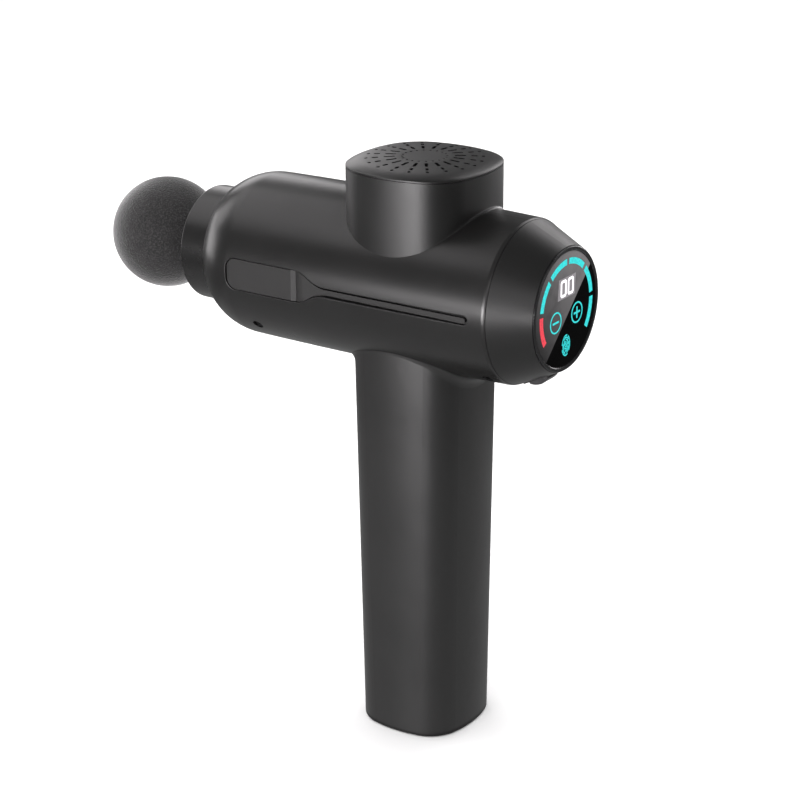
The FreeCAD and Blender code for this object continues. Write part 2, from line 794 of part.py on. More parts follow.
def rocker_place(depth):
    """Frame of the rocker: its -Z points out of the cone under the display."""
    slope = math.radians(SIZES["rocker_tilt"])
    x = SIZES["rocker_x"]
    start = SIZES["seam_x"] + SIZES["seam_gap"]
    radius = SIZES["seam_radius"] - 0.15 - (x - start) * math.tan(slope)
    outward = Vector(math.sin(slope), 0, -math.cos(slope))
    surface = Vector(x, 0, SIZES["barrel_z"] - radius)
    return Placement(surface - outward * depth, Rotation(Vector(0, 1, 0), -SIZES["rocker_tilt"]))


def rocker_frame():
    """Open rim set in the cone, with two ears that hold the rocker's pin."""
    half_x = D.rocker_length / 2
    half_y = D.rocker_width / 2
    rim = box((-half_x - 1.3, -half_y - 1.2, -0.15), (half_x + 1.3, half_y + 1.2, 3.6))
    well = box((-half_x - 0.5, -half_y - 0.35, -1.0), (half_x + 0.5, half_y + 0.35, 5.0))
    pin_hole = cylinder(1.05, 14.0, (0, -7.0, 2.6), "+Y")
    frame = cut(rim, well, pin_hole)
    frame.Placement = rocker_place(0.0)
    return keep("rocker_frame", frame)


def rocker_button():
    """Rocker with a rounded face, at rest with its front end standing out."""
    half = D.rocker_length / 2 - 0.15
    body = new_body()
    sketch = new_sketch(body, "XZ_Plane")
    outline(
        sketch,
        (-half, -0.3),
        (0.6, -2.5, 9.0),
        (half, -1.7, 9.0),
        (half - 0.6, 2.6),
        (2.0, 4.0),
        (-2.0, 4.0),
        (-half + 0.6, 2.6),
    )
    feature(body, "Pad", sketch, Length=D.rocker_width - 0.2, Midplane=True)
    pin = feature(body, "AdditiveCylinder", Radius=1.0, Height=D.rocker_width + 2.2)
    pin.Placement = Placement(Vector(0, -SIZES["rocker_width"] / 2 - 1.1, 2.6), TURNS["+Y"])
    centre = Vector(0, 0, 2.6)
    rest = Placement(Vector(), Rotation(Vector(0, 1, 0), -SIZES["rocker_rest"]), centre)
    body.Placement = rocker_place(0.0).multiply(rest)
    return keep("rocker_button", body)


# ---- drive frame and its bearings ------------------------------------------------------------

def plate_holes(radius, low):
    """Ring of screw holes or shanks shared by the motor plate and the crank case."""
    return ring(lambda: cylinder(radius, 8.0, (18.5, 0, low)), 4, 45.0)


def drive_frame():
    """Cast frame: a cylinder for the plunger and an open crank case that carries the motor."""
    z = D.barrel_z
    front = D.case_front
    rear = D.case_rear
    half_y = D.case_half_y
    wall = D.case_wall
    tube_front = D.collar_front + 1.7
    origin = Placement(Vector(0, 0, SIZES["barrel_z"]), Rotation())
    solid = [
        cylinder(D.tube_radius, front - tube_front + 2.0, (tube_front, 0, z), "+X"),
        cylinder(D.seat_radius, 8.0, (D.barrel_front - 2.0, 0, z), "+X"),
        cylinder(20.0, 2.6, (D.barrel_front + 4.6, 0, z), "+X"),
        box((front, -half_y, D.case_bottom), (rear, half_y, D.case_top)),
    ]
    solid += [
        cylinder(2.2, 6.0, (rear, y, height), "+X") for y in (-15.0, 15.0) for height in (184.0, 205.0)
    ]
    tools = [
        cylinder(D.bush_radius, front - tube_front + wall + 1.0, (tube_front, 0, z), "+X"),
        box((front + wall, wall - half_y, D.case_bottom + 3.0), (rear - wall, half_y - wall, 207.0)),
        cylinder(D.bearing_radius, 8.0, (0, 0, 205.0)),
        *plate_holes(1.25, D.case_top - 4.0),
    ]
    for start, end in ((-36.0, -22.0), (-10.0, 4.0), (12.0, 20.0)):
        tools.append(box((start, -24.0, 186.0), (end, 24.0, 203.0)))
    for spot in case_screw_spots("front"):
        boss = cylinder(3.4, 19.0)
        boss.Placement = origin.multiply(spot).multiply(back(-2.3))
        solid.append(boss)
        hole = cylinder(CASE_SCREW["shank"], 8.0)
        hole.Placement = origin.multiply(spot)
        tools.append(hole)
    return keep("drive_frame", cut(fuse(*solid), *tools))


def bush(label, start):
    bore = D.plunger_radius + D.running
    shape = tube(D.bush_radius, bore, D.bush_length, (start, 0, D.barrel_z), "+X")
    return keep(label, shape)


def dust_seal():
    """Rubber lip ring in front of the plunger's first bush."""
    x = D.collar_front + 1.7
    return keep("dust_seal", turned([
        (x, D.plunger_radius + 1.4),
        (x, D.bush_radius),
        (x + 1.8, D.bush_radius),
        (x + 1.8, D.plunger_radius + 0.3),
        (x + 1.0, D.plunger_radius + 0.3),
    ], AXIS))


def nose_damper():
    """Rubber ring that isolates the drive frame from the barrel's front wall."""
    x = D.barrel_front
    return keep("nose_damper", turned([
        (x + 0.2, D.seat_radius),
        (x + 0.2, 19.0),
        (x + 3.0, 19.0),
        (x + 3.0, 21.5),
        (x + 4.6, 21.5),
        (x + 4.6, D.seat_radius),
    ], AXIS))


def case_dampers():
    """Four rubber blocks under the crank case, curved to the barrel's inner wall."""
    wall = cylinder(D.barrel_radius - D.shell_wall - 0.5, 90.0, (-50.0, 0, D.barrel_z), "+X")
    blocks = fuse(*[
        box((x, y, D.case_bottom - 12.0), (x + 9.0, y + 9.0, D.case_bottom))
        for x in (-48.0, 17.0) for y in (-20.0, 11.0)
    ])
    shape = doc.addObject("Part::Common", "Dampers")
    shape.Base = blocks
    shape.Tool = wall
    return keep("case_dampers", shape)


def ball_bearing(label, outer, height, z):
    """Shielded ball bearing, drawn closed with a groove between its rings."""
    middle = (D.shaft_radius + outer) / 2
    groove = 0.35
    inner = D.shaft_radius + D.running
    return keep(label, turned([
        (inner, 0),
        (middle - 1.0, 0),
        (middle - 1.0, groove),
        (middle + 1.0, groove),
        (middle + 1.0, 0),
        (outer, 0),
        (outer, height),
        (middle + 1.0, height),
        (middle + 1.0, height - groove),
        (middle - 1.0, height - groove),
        (middle - 1.0, height),
        (inner, height),
    ], (0, 0, z), "V_Axis"))


# ---- motor -----------------------------------------------------------------------------------

def motor_plate():
    """Flange on the crank case with the tube that carries the stator and both bearings."""
    flange = cylinder(D.plate_radius, 2.2, (0, 0, D.case_top))
    neck = cylinder(5.8, 18.5, (0, 0, D.case_top))
    tools = [
        cylinder(3.2, 24.0, (0, 0, D.case_top - 1.0)),
        cylinder(4.8, 4.0, (0, 0, D.case_top + 14.5)),
        *plate_holes(1.45, D.case_top - 2.0),
    ]
    return keep("motor_plate", cut(fuse(flange, neck), *tools))


def motor_screws():
    seat = D.case_top + 2.2
    screws = ring(lambda: screw(2.3, 1.6, 1.25, 5.5, (18.5, 0, seat), "-Z"), 4, 45.0)
    return keep("motor_screws", group(*screws))


def stator_core():
    """Laminated core: a hub with one T-shaped tooth per coil."""
    height = 10.0
    body = new_body((0, 0, D.can_bottom + 1.5))
    hub = new_sketch(body)
    circle(hub, 0, 0, 8.6)
    circle(hub, 0, 0, 5.8)
    feature(body, "Pad", hub, Length=height)
    tooth = new_sketch(body)
    tip = D.stator_radius
    outline(
        tooth,
        (8.0, -1.4),
        (tip - 1.8, -1.4),
        (tip - 1.0, -4.6),
        (tip - 0.6, -4.6),
        (tip - 0.6, 4.6, 18.0),
        (tip - 1.0, 4.6),
        (tip - 1.8, 1.4),
        (8.0, 1.4),
    )
    pad = feature(body, "Pad", tooth, Length=height)
    pattern = feature(body, "PolarPattern", Originals=[pad], Axis=(tooth, ["N_Axis"]), Angle=360.0)
    pattern.setExpression("Occurrences", D.coil_count.text)
    body.Tip = pattern
    return keep("stator_core", body)


def coil():
    """One winding, wound round the tooth that points along X."""
    low = D.can_bottom + 0.5
    return cut(
        box((9.6, -2.7, low), (14.4, 2.7, low + 12.0)),
        box((9.0, -1.45, low + 0.95), (15.0, 1.45, low + 11.05)),
    )


def stator_coils():
    return keep("stator_coils", group(*ring(coil, SIZES["coil_count"])))


def rotor_can():
    """Steel bell of the motor, open below."""
    top = D.can_top
    inner = D.can_radius - 1.6
    return keep("rotor_can", turned([
        (inner, D.can_bottom),
        (D.can_radius, D.can_bottom),
        (D.can_radius, top - 1.5),
        (D.can_radius - 1.5, top, 1.5),
        (D.shaft_radius, top),
        (D.shaft_radius, top - 2.0),
        (inner, top - 2.0),
    ], (0, 0, 0), "V_Axis"))


def magnet():
    face = D.magnet_face
    return box((face, -3.8, D.can_bottom + 1.0), (face + 1.5, 3.8, D.can_bottom + 12.0))


def rotor_magnets():
    return keep("rotor_magnets", group(*ring(magnet, SIZES["magnet_count"])))


def motor_shaft():
    start = D.wheel_z + 0.6
    return keep("motor_shaft", cylinder(D.shaft_radius, 239.6 - start, (0, 0, start)))


def eccentric_wheel():
    """Crank wheel with a half-round counterweight and a tapped hole for the crank bolt."""
    z = D.wheel_z
    disc = cylinder(D.wheel_radius, 3.6, (0, 0, z))
    weight = cut(
        cylinder(D.wheel_radius, 3.0, (0, 0, z + 3.6)),
        box((-2.0, -14.0, z + 3.0), (14.0, 14.0, z + 7.0)),
    )
    hub = cylinder(5.0, 3.0, (0, 0, z + 3.6))
    tools = [
        cylinder(D.shaft_radius, 9.0, (0, 0, z + 0.6)),
        cylinder(2.2, 3.2, (D.crank_throw, 0, z - 0.2)),
    ]
    return keep("eccentric_wheel", cut(fuse(disc, weight, hub), *tools))


def fan_blade():
    """Flat blade that leans back from the radius."""
    blade = box((0.0, -0.5, 0.0), (14.0, 0.5, 5.2))
    return place(blade, (5.5, -2.0, D.can_top + 0.4), Rotation(Vector(0, 0, 1), 20.0))


def cooling_fan():
    """Centrifugal fan on the shaft, just under the vents."""
    z = D.can_top + 0.4
    parts = [cylinder(6.0, 5.6, (0, 0, z)), cylinder(D.fan_radius, 1.0, (0, 0, z))]
    parts += ring(fan_blade, SIZES["fan_blades"])
    bore = cylinder(D.shaft_radius, 8.0, (0, 0, z - 1.0))
    return keep("cooling_fan", cut(fuse(*parts), bore))


# ---- plunger, rod and head -------------------------------------------------------------------

def plunger():
    """Hard-coated aluminium plunger: a socket for the head in front, a fork for the rod behind."""
    z = D.barrel_z
    body = cylinder(D.plunger_radius, D.plunger_rear - D.plunger_front, (D.plunger_front, 0, z), "+X")
    pin_x = D.crank_throw - D.rod_length
    half = D.rod_height / 2 + 0.3
    tools = [
        cylinder(D.stem_radius + D.running, D.socket_depth, (D.plunger_front, 0, z), "+X"),
        cone(7.4, D.stem_radius + D.running, 1.3, (D.plunger_front, 0, z), "+X"),
        box((pin_x - 20.0, -11.0, z - half), (D.plunger_rear + 1, 11.0, z + half)),
        cylinder(D.pin_radius, 24.0, (pin_x, 0, z - 12.0)),
    ]
    return keep("plunger", cut(body, *tools))


def wrist_pin():
    pin_x = D.crank_throw - D.rod_length
    return keep("wrist_pin", cylinder(D.pin_radius, 18.0, (pin_x, 0, D.barrel_z - 9.0)))


def connecting_rod():
    """Flat rod with a small eye for the wrist pin and a large eye for the crank bearing."""
    small_x = D.crank_throw - D.rod_length
    big_x = D.crank_throw
    low = D.barrel_z - D.rod_height / 2
    solid = [
        cylinder(6.6, D.rod_height, (small_x, 0, low)),
        cylinder(11.0, D.rod_height, (big_x, 0, low)),
        box((small_x, -4.2, low + 1.0), (big_x, 4.2, low + D.rod_height - 1.0)),
    ]
    tools = [
        cylinder(4.6, 12.0, (small_x, 0, low - 2.0)),
        cylinder(8.0, 12.0, (big_x, 0, low - 2.0)),
        box((small_x + 8.5, -2.2, low - 1.0), (big_x - 13.0, 2.2, low + 2.6)),
        box((small_x + 8.5, -2.2, low + D.rod_height - 2.6), (big_x - 13.0, 2.2, low + D.rod_height)),
    ]
    return keep("connecting_rod", cut(fuse(*solid), *tools))


def rod_bush():
    x = D.crank_throw - D.rod_length
    low = D.barrel_z - D.rod_height / 2
    return keep("rod_bush", tube(4.6, D.pin_radius + D.running, D.rod_height, (x, 0, low)))


def crank_bearing():
    low = D.barrel_z - D.rod_height / 2
    return keep("crank_bearing", tube(8.0, D.pin_radius, D.rod_height, (D.crank_throw, 0, low)))


def crank_bolt():
    """Shoulder bolt through the crank bearing, up to the wheel's tapped hole."""
    low = D.barrel_z - D.rod_height / 2
    head = cylinder(5.2, 3.0, (D.crank_throw, 0, low - 3.0))
    shank = cylinder(D.pin_radius, D.rod_height + 0.5, (D.crank_throw, 0, low))
    socket = doc.addObject("Part::Prism", "Socket")
    socket.Polygon = 6
    socket.Circumradius = 2.3
    socket.Height = 1.8
    place(socket, (D.crank_throw, 0, low - 3.0))
    return keep("crank_bolt", cut(fuse(head, shank), socket))


def head_stem():
    """Plug of the ball head: it pushes into the plunger and carries the foam ball."""
    plug_end = D.plunger_front + D.socket_depth - 1.0
    flange = D.plunger_front - 0.1
    core = D.ball_radius * 0.5
    return keep("head_stem", turned([
        (D.ball_x - core, 0.0),
        (plug_end, 0.0),
        (plug_end, D.stem_radius - 1.0),
        (plug_end - 1.0, D.stem_radius),
        (plug_end - 9.0, D.stem_radius),
        (plug_end - 9.0, D.stem_radius - 1.2),
        (plug_end - 11.0, D.stem_radius - 1.2),
        (plug_end - 11.0, D.stem_radius),
        (flange + 1.4, D.stem_radius),
        (flange, 7.2),
        (flange, 9.2),
        (flange - 1.8, 9.2),
        (flange - 3.0, 8.0),
        (D.ball_x + core * 0.5, 8.0),
        (D.ball_x, core),
        (D.ball_x - core, 6.0),
    ][::-1], AXIS))


def stem_ring():
    """Rubber ring in the stem's groove, drawn at its squeezed size."""
    x = D.plunger_front + D.socket_depth - 12.0
    return keep("stem_ring", turned([
        (x + 0.1, D.stem_radius - 1.2),
        (x + 0.1, D.stem_radius - 0.3),
        (x + 0.4, D.stem_radius),
        (x + 1.6, D.stem_radius),
        (x + 1.9, D.stem_radius - 0.3),
        (x + 1.9, D.stem_radius - 1.2),
    ], AXIS))


def foam_ball():
    """Foam ball moulded round the stem's core."""
    ball = doc.addObject("Part::Sphere", "Sphere")
    bind(ball, "Radius", D.ball_radius)
    place(ball, (D.ball_x, 0, D.barrel_z))
    core = D.ball_radius * 0.5
    hollow = turned([
        (D.ball_x - core, 6.0),
        (D.ball_x, core),
        (D.ball_x + core * 0.5, 8.0),
        (D.plunger_front, 8.0),
        (D.plunger_front, 0.0),
        (D.ball_x - core, 0.0),
    ], AXIS)
    return keep("foam_ball", cut(ball, hollow))


# ---- battery ---------------------------------------------------------------------------------

CELL_LAYERS = (D.cell_start, D.cell_start + D.cell_length + D.cell_gap)


def cell_centres():
    for index in range(3):
        turn = math.radians(90 + 120 * index)
        yield D.cell_circle * math.cos(turn), D.cell_circle * math.sin(turn)


def battery_cells():
    """Two layers of three cylindrical cells with raised caps."""
    cells = []
    for start in CELL_LAYERS:
        for x, y in cell_centres():
            cells.append(fuse(
                cylinder(D.cell_radius, D.cell_length - 1.0, (x, y, start)),
                cylinder(3.0, D.cell_length, (x, y, start)),
            ))
    return keep("battery_cells", group(*cells))


def cell_holder(label, low, high):
    """Plastic disc with pockets that grip the ends of the cells."""
    plate = cylinder(20.6, high - low, (0, 0, low))
    tools = []
    for start in CELL_LAYERS:
        for x, y in cell_centres():
            tools.append(cylinder(D.cell_radius, D.cell_length, (x, y, start)))
        tools.append(cylinder(13.2, 0.6, (0, 0, start + D.cell_length)))
    tools.append(cylinder(2.6, high - low, (0, 0, low)))
    if label == "lower_cell_holder":
        tools += [cylinder(1.5, 9.0, (x, y, low - 1.0)) for x, y in BASE_SCREWS]
    return keep(label, cut(plate, *tools))


def cell_links():
    """Nickel stars that join the three cells of a layer."""
    links = []
    for start in CELL_LAYERS:
        z = start + D.cell_length
        links.append(fuse(*ring(lambda: box((0.0, -4.0, z), (12.5, 4.0, z + 0.3)), 3, 90.0)))
    return keep("cell_links", group(*links))


def battery_board():
    z = CELL_LAYERS[1] + D.cell_length + 7.0
    board = box((-15.0, -13.0, z), (15.0, 13.0, z + 1.6))
    chips = [box((x, -3.0, z + 1.6), (x + 5.0, 3.0, z + 2.8)) for x in (-11.0, -3.0)]
    return keep("battery_board", fuse(board, *chips))


def charge_jack():
    """Barrel jack in the base cap, its contact pin standing at the bottom of the socket."""
    x = D.jack_x
    shell = cylinder(D.jack_radius + 1.4, 6.2, (x, 0, D.base_thickness))
    well = cylinder(D.jack_radius - 1.4, D.jack_depth, (x, 0, D.base_thickness))
    pin = cylinder(1.0, 4.4, (x, 0, D.base_thickness + 0.8))
    return keep("charge_jack", fuse(cut(shell, well), pin))


# ---- leads -----------------------------------------------------------------------------------

def lead(points, radius):
    """Wire along straight runs joined by tangent arcs."""
    route = [Vector(*[number(c) for c in p]) for p in points]
    edges = []
    start = route[0]
    for before, corner, after in zip(route, route[1:], route[2:]):
        into, out = (corner - before).normalize(), (after - corner).normalize()
        half_turn = into.getAngle(out) / 2
        trim = 0.45 * min((corner - before).Length, (after - corner).Length)
        bulge = (out - into).normalize()
        bend = trim / math.tan(half_turn)
        middle = corner + bulge * (bend / math.cos(half_turn) - bend)
        enter, leave = corner - into * trim, corner + out * trim
        edges.append(Part.LineSegment(start, enter).toShape())
        edges.append(Part.Arc(enter, middle, leave).toShape())
        start = leave
    edges.append(Part.LineSegment(start, route[-1]).toShape())
    path = Part.Wire(edges)
    ring = Part.Wire(Part.Circle(route[0], route[1] - route[0], radius).toShape())
    wire = doc.addObject("Part::Feature", "Lead")
    wire.Shape = path.makePipeShell([ring], True, False)
    return wire


def battery_leads():
    """Pair of leads from the battery board up to the motor controller."""
    top = CELL_LAYERS[1] + D.cell_length + 8.6
    leads = [
        lead([(12.0, y, top), (12.0, y, 168.0), (24.0, y, 171.0), (33.0, y, 178.0), (33.0, y, 186.0)], 0.9)
        for y in (-8.0, 8.0)
    ]
    return keep("battery_leads", group(*leads))


def phase_leads():
    """Three leads from the stator, under the rotor can, to the motor controller."""
    low = D.case_top + 3.7
    leads = [
        lead([(12.0, y, low + 1.7), (12.0, y, low), (31.0, y, low), (33.2, y, low - 9.0)], 0.7)
        for y in (-2.0, 0.0, 2.0)
    ]
    return keep("phase_leads", group(*leads))


def display_leads():
    """Leads from the controller to the display board, and two from it to the rocker."""
    z = D.barrel_z
    leads = [
        lead([(35.6, y, z - 11.0), (46.0, y, z - 11.0), (50.0, y, z - 16.0), (58.6, y, z - 16.0)], 0.5)
        for y in (-2.4, -0.8, 0.8, 2.4)
    ]
    leads += [
        lead([(35.6, y, z - 14.0), (42.0, y, z - 14.0), (49.0, y, z - 20.0), (52.2, y, z - 27.5)], 0.6)
        for y in (-4.9, 4.9)
    ]
    return keep("display_leads", group(*leads))


# ---- build -----------------------------------------------------------------------------------

def build_all():
    barrel_shell()
    side_inlay("right_inlay", -1)
    side_inlay("left_inlay", 1)
    front_collar()
    rear_cap()
    motor_cover()
    vent_cap()
    dust_screen()
    handle_shell()
    base_cap()
    base_screws()
    case_screws("front", 8.0)
    case_screws("rear", 5.0)
    display_bezel()
    display_glass()
    display_board()
    digit_module()
    touch_springs()
    control_board()
    board_parts()
    rocker_frame()
    rocker_button()
    drive_frame()
    bush("front_bush", D.collar_front + 3.6)
    bush("rear_bush", D.case_front - D.bush_length - 2.0)
    dust_seal()
    nose_damper()
    case_dampers()
    ball_bearing("lower_bearing", D.bearing_radius, 4.2, D.case_top - 4.3)
    ball_bearing("upper_bearing", 4.8, 3.9, D.case_top + 14.5)
    motor_plate()
    motor_screws()
    stator_core()
    stator_coils()
    rotor_can()
    rotor_magnets()
    motor_shaft()
    eccentric_wheel()
    cooling_fan()
    plunger()
    wrist_pin()
    connecting_rod()
    rod_bush()
    crank_bearing()
    crank_bolt()
    head_stem()
    stem_ring()
    foam_ball()
    battery_cells()
    middle = D.cell_start + D.cell_length
    cell_holder("lower_cell_holder", D.cell_start - 3.5, D.cell_start + 3.0)
    cell_holder("middle_cell_holder", middle - 3.0, middle + D.cell_gap + 3.0)
    cell_holder("upper_cell_holder", middle * 2.0 + D.cell_gap - D.cell_start - 3.0,
                middle * 2.0 + D.cell_gap - D.cell_start - 1.0)
    cell_links()
    battery_board()
    charge_jack()
    battery_leads()
    phase_leads()
    display_leads()


def check_all():
    """Stops the build if any feature failed or any sub-part is empty or invalid."""
    doc.recompute()
    for obj in doc.Objects:
        bad = {"Invalid", "Error"} & set(obj.State)
        if bad:
            raise RuntimeError(f"{obj.Name} ({obj.Label}) is {bad}")
    for label, obj in NODES.items():
        if obj.Shape.isNull() or not obj.Shape.isValid():
            raise RuntimeError(f"{label} has no valid shape")


def export_all():
    os.makedirs("parts", exist_ok=True)
    for label, obj in NODES.items():
        obj.Shape.exportStep(f"parts/{label}.step")


build_all()
check_all()
export_all()
print(f"{len(NODES)} sub-parts written")
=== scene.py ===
"""Looks of the massage gun: materials, foam ball, printed display and a plain light studio.

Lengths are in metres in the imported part's frame, +Z up and +X towards the display. Only the display's print
is laid out in mm.
"""

import json
import math

import bmesh
import bpy
from mathutils import Matrix, Vector, noise


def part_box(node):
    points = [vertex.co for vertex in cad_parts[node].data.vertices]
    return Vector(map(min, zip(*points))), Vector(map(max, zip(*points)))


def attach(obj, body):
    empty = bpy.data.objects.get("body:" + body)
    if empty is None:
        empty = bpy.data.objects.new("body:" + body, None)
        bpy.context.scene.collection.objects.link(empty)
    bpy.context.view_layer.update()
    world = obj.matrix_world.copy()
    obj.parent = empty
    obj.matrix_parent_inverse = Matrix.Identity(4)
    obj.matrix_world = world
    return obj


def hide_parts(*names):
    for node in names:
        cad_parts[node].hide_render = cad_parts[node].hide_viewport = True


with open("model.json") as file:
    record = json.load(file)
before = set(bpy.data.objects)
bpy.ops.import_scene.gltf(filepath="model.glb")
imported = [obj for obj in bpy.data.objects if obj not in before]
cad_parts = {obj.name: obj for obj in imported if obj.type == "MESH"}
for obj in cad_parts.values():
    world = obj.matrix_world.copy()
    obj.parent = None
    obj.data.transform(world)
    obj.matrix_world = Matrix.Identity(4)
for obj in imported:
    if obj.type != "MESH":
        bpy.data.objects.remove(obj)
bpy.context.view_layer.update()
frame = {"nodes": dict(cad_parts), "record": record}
nodes = frame["nodes"]
MM = 0.001


# ---- helpers ---------------------------------------------------------------------------------

def to_scene(name, data):
    """A new object in the scene for a mesh, a light or a camera."""
    obj = bpy.data.objects.new(name, data)
    bpy.context.scene.collection.objects.link(obj)
    return obj


def to_mesh(name, bm, material):
    """Turns a finished bmesh into a mesh of one material."""
    mesh = bpy.data.meshes.new(name)
    bm.to_mesh(mesh)
    bm.free()
    mesh.materials.append(material)
    return mesh


def add_piece(name, mesh, body="housing"):
    """A piece of the object and on the body that carries it."""
    obj = to_scene(name, mesh)
    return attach(obj, body)


# ---- materials: texture sizes and bump depths are in metres ------------------------------------

# the sockets that a Mix node uses for colours
FIRST_COLOUR, SECOND_COLOUR, MIXED_COLOUR = 6, 7, 2


class Shader:
    """A Principled material with a few short ways to wire procedural detail into it."""

    def __init__(self, name, colour, roughness, **sockets):
        self.material = bpy.data.materials.new(name)
        self.material.use_nodes = True
        self.tree = self.material.node_tree
        self.surface = self.tree.nodes["Principled BSDF"]
        self.coords = self.node("ShaderNodeTexCoord").outputs["Object"]
        self.height = None
        self.surface.inputs["Base Color"].default_value = (*colour, 1.0)
        self.surface.inputs["Roughness"].default_value = roughness
        self.colour = colour
        self.roughness = roughness
        for socket, value in sockets.items():
            self.surface.inputs[socket.replace("_", " ")].default_value = value

    def node(self, kind, **values):
        """A new node; each value goes to the property or the input of that name."""
        made = self.tree.nodes.new(kind)
        for name, value in values.items():
            if hasattr(made, name):
                setattr(made, name, value)
            else:
                made.inputs[name.replace("_", " ")].default_value = value
        return made

    def link(self, output, target):
        """Wires an output to an input."""
        self.tree.links.new(output, target)

    def noise(self, size, detail=3.0, stretch=(1, 1, 1), rough=0.55):
        """Noise whose blotches are about the given size, in metres."""
        mapping = self.node("ShaderNodeMapping", Scale=stretch)
        self.link(self.coords, mapping.inputs["Vector"])
        texture = self.node("ShaderNodeTexNoise", Scale=1.0 / size, Detail=detail, Roughness=rough)
        self.link(mapping.outputs["Vector"], texture.inputs["Vector"])
        return texture.outputs["Fac"]

    def ramp(self, factor, low, high):
        """Spreads the range low..high of a factor over 0..1."""
        spread = self.node("ShaderNodeMapRange", From_Min=low, From_Max=high)
        self.link(factor, spread.inputs["Value"])
        return spread.outputs["Result"]

    def both(self, first, second):
        """Product of two factors."""
        product = self.node("ShaderNodeMath", operation="MULTIPLY")
        self.link(first, product.inputs[0])
        self.link(second, product.inputs[1])
        return product.outputs[0]

    def along(self, direction):
        """How far a point lies along a direction, in metres."""
        product = self.node("ShaderNodeVectorMath", operation="DOT_PRODUCT")
        product.inputs[1].default_value = direction
        self.link(self.coords, product.inputs[0])
        return product.outputs["Value"]

    def tint(self, factor, colour, share=1.0):
        """Mixes another colour in by a factor."""
        mix = self.node("ShaderNodeMix", data_type="RGBA")
        amount = self.node("ShaderNodeMath", operation="MULTIPLY")
        amount.inputs[1].default_value = share
        self.link(factor, amount.inputs[0])
        self.link(amount.outputs[0], mix.inputs["Factor"])
        socket = self.surface.inputs["Base Color"]
        if socket.is_linked:
            self.link(socket.links[0].from_socket, mix.inputs[FIRST_COLOUR])
        else:
            mix.inputs[FIRST_COLOUR].default_value = (*self.colour, 1.0)
        mix.inputs[SECOND_COLOUR].default_value = (*colour, 1.0)
        self.link(mix.outputs[MIXED_COLOUR], socket)

    def wear(self, factor, change):
        """Moves the roughness by a factor, from nothing to the whole change."""
        spread = self.node("ShaderNodeMapRange", To_Min=self.roughness, To_Max=self.roughness + change)
        self.link(factor, spread.inputs["Value"])
        self.link(spread.outputs["Result"], self.surface.inputs["Roughness"])

    def bump(self, factor, depth, strength=1.0):
        """Raises the surface by a factor, up to a depth in metres."""
        bump = self.node("ShaderNodeBump", Strength=strength, Distance=depth)
        self.link(factor, bump.inputs["Height"])
        if self.height is not None:
            self.link(self.height, bump.inputs["Normal"])
        self.height = bump.outputs["Normal"]
        self.link(self.height, self.surface.inputs["Normal"])


def lighter(colour, factor):
    """The colour times a factor, so a factor below 1 darkens it."""
    return tuple(min(1.0, c * factor) for c in colour)


def moulded(name, colour, roughness, **sockets):
    """Fine-grained moulded plastic with faint clouding and handling marks."""
    s = Shader(name, colour, roughness, **sockets)
    s.tint(s.ramp(s.noise(0.02, 4.0), 0.35, 0.65), lighter(colour, 1.22), 0.5)
    s.tint(s.ramp(s.noise(0.0006, 2.0), 0.4, 0.7), lighter(colour, 0.82), 0.5)
    s.wear(s.ramp(s.noise(0.035, 5.0), 0.3, 0.7), 0.08)
    s.bump(s.noise(0.00035, 2.0), 0.00001)
    return s.material


def rubber(name, colour, roughness=0.75):
    """Matt elastomer or felt with a dusty bloom."""
    s = Shader(name, colour, roughness, Specular_IOR_Level=0.35, Sheen_Weight=0.15, Sheen_Roughness=0.4)
    s.tint(s.ramp(s.noise(0.006, 4.0), 0.4, 0.65), lighter(colour, 1.4), 0.5)
    s.wear(s.noise(0.015), 0.12)
    s.bump(s.noise(0.0004, 3.0), 0.00004)
    return s.material


def metal(name, colour, roughness, stretch=(1, 1, 1)):
    """Machined metal: fine marks along one direction and a little staining."""
    s = Shader(name, colour, roughness, Metallic=1.0)
    marks = s.noise(0.0008, 3.0, stretch)
    s.tint(s.ramp(s.noise(0.01, 5.0), 0.45, 0.75), lighter(colour, 0.72), 0.6)
    s.tint(s.ramp(marks, 0.4, 0.7), lighter(colour, 1.15), 0.4)
    s.wear(s.noise(0.006, 4.0), 0.15)
    s.bump(marks, 0.000004)
    return s.material


def cast(name, colour):
    """Cast metal: a pebbly skin with darker patches."""
    s = Shader(name, colour, 0.48, Metallic=1.0)
    s.tint(s.ramp(s.noise(0.004, 5.0), 0.4, 0.7), lighter(colour, 0.65), 0.7)
    s.wear(s.noise(0.003, 4.0), 0.2)
    s.bump(s.noise(0.0009, 5.0), 0.00006)
    return s.material


def circuit(name, colour):
    """Solder mask over copper: a lighter maze of tracks under a green coat."""
    s = Shader(name, colour, 0.3, Coat_Weight=0.5, Coat_Roughness=0.15)
    tracks = s.node(
        "ShaderNodeTexBrick", Scale=260.0, Mortar_Size=0.03, Brick_Width=0.9, Row_Height=0.22
    )
    s.link(s.coords, tracks.inputs["Vector"])
    s.tint(tracks.outputs["Fac"], lighter(colour, 2.4), 0.7)
    s.tint(s.ramp(s.noise(0.004, 3.0), 0.55, 0.6), lighter(colour, 1.5), 0.4)
    s.wear(s.noise(0.003), 0.1)
    s.bump(tracks.outputs["Fac"], 0.00003)
    return s.material


def laminated(name, colour):
    """Stacked steel sheets, seen as fine level lines."""
    s = Shader(name, colour, 0.42, Metallic=1.0)
    sheets = s.node("ShaderNodeTexWave", Scale=320.0, bands_direction="Z", Distortion=0.4)
    s.link(s.coords, sheets.inputs["Vector"])
    s.tint(sheets.outputs["Fac"], lighter(colour, 0.6), 0.6)
    s.tint(s.ramp(s.noise(0.003, 4.0), 0.55, 0.8), (0.12, 0.07, 0.04), 0.4)
    s.wear(s.noise(0.002), 0.2)
    s.bump(sheets.outputs["Fac"], 0.00003)
    return s.material


